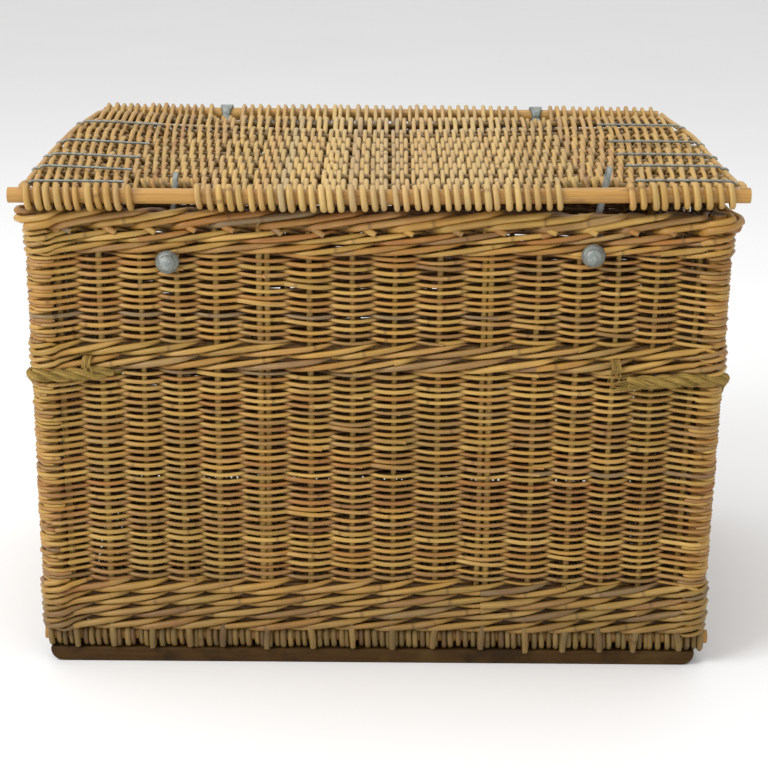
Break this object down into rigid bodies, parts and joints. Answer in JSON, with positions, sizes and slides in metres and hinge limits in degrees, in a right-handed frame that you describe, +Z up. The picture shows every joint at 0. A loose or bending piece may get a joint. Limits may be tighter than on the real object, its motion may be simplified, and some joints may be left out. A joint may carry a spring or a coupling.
{
  "type": "woven laundry basket",
  "caption": "Large rectangular woven willow and cane laundry hamper on wooden runners, with a hinged woven lid, steel hasp bars through lid slots and rope side handles.",
  "frame": {"origin": "under the middle of the hamper, on the plane that its two runners stand on", "axes": "+X to the right along the long side, +Y from the hasp side towards the hinge side, +Z up"},
  "size_m": [0.84, 0.611, 0.6097],
  "materials": {
    "willow": "natural woven rods, honey brown, dull sheen",
    "pale_willow": "natural woven rods, sun-bleached",
    "cane": "smooth cane pole with a soft gloss",
    "dark_wood": "worn brown timber",
    "galvanised_steel": "dull galvanised",
    "sisal": "three-strand natural fibre rope"
  },
  "bodies": {
    "hamper": {"base_front_rail": "willow", "base_mat": "willow", "base_rear_rail": "willow", "base_wale": "willow", "bolt_front_left": "galvanised_steel", "bolt_front_right": "galvanised_steel", "bolt_rear_left": "galvanised_steel", "bolt_rear_right": "galvanised_steel", "border": "willow", "cup_washer_front_left": "galvanised_steel", "cup_washer_front_right": "galvanised_steel", "cup_washer_rear_left": "galvanised_steel", "cup_washer_rear_right": "galvanised_steel", "hinge_eye_left": "galvanised_steel", "hinge_eye_right": "galvanised_steel", "mid_wale": "willow", "nut_front_left": "galvanised_steel", "nut_front_right": "galvanised_steel", "nut_rear_left": "galvanised_steel", "nut_rear_right": "galvanised_steel", "post_front_left": "cane", "post_front_right": "cane", "post_rear_left": "cane", "post_rear_right": "cane", "rope_left_front_tuck": "sisal", "rope_left_rear_tuck": "sisal", "rope_right_front_tuck": "sisal", "rope_right_rear_tuck": "sisal", "runner_front": "dark_wood", "runner_rear": "dark_wood", "top_wale": "willow", "weave_front_lower": "willow", "weave_front_upper": "willow", "weave_left_lower": "willow", "weave_left_upper": "willow", "weave_rear_lower": "willow", "weave_rear_upper": "willow", "weave_right_lower": "willow", "weave_right_upper": "willow"},
    "lid": {"lid_front_rail": "cane", "lid_rear_rail": "cane", "lid_side_stick_left": "cane", "lid_side_stick_right": "cane", "lid_weave": "pale_willow", "lid_wire_left_1": "galvanised_steel", "lid_wire_left_2": "galvanised_steel", "lid_wire_left_3": "galvanised_steel", "lid_wire_left_4": "galvanised_steel", "lid_wire_left_5": "galvanised_steel", "lid_wire_right_1": "galvanised_steel", "lid_wire_right_2": "galvanised_steel", "lid_wire_right_3": "galvanised_steel", "lid_wire_right_4": "galvanised_steel", "lid_wire_right_5": "galvanised_steel"},
    "hasp_left": {"hasp_left": "galvanised_steel"},
    "hasp_right": {"hasp_right": "galvanised_steel"},
    "handle_left": {"rope_left_handle": "sisal"},
    "handle_right": {"rope_right_handle": "sisal"}
  },
  "joints": [
    {"name": "lid_hinge", "type": "hinge", "parent": "hamper", "child": "lid", "pos_m": [0, 0.29, 0.58], "axis": [-1, 0, 0], "range_deg": [0, 205]},
    {"name": "hasp_left_swivel", "type": "hinge", "parent": "hamper", "child": "hasp_left", "pos_m": [-0.242, -0.2572, 0.502], "axis": [0, 1, 0], "range_deg": [-19, 9]},
    {"name": "hasp_right_swivel", "type": "hinge", "parent": "hamper", "child": "hasp_right", "pos_m": [0.246, -0.2572, 0.513], "axis": [0, 1, 0], "range_deg": [-25, 3]},
    {"name": "handle_left_swing", "type": "hinge", "parent": "hamper", "child": "handle_left", "pos_m": [-0.4094, 0, 0.362], "axis": [0, 1, 0], "range_deg": [0, 150]},
    {"name": "handle_right_swing", "type": "hinge", "parent": "hamper", "child": "handle_right", "pos_m": [0.4094, 0, 0.362], "axis": [0, -1, 0], "range_deg": [0, 150]}
  ]
}
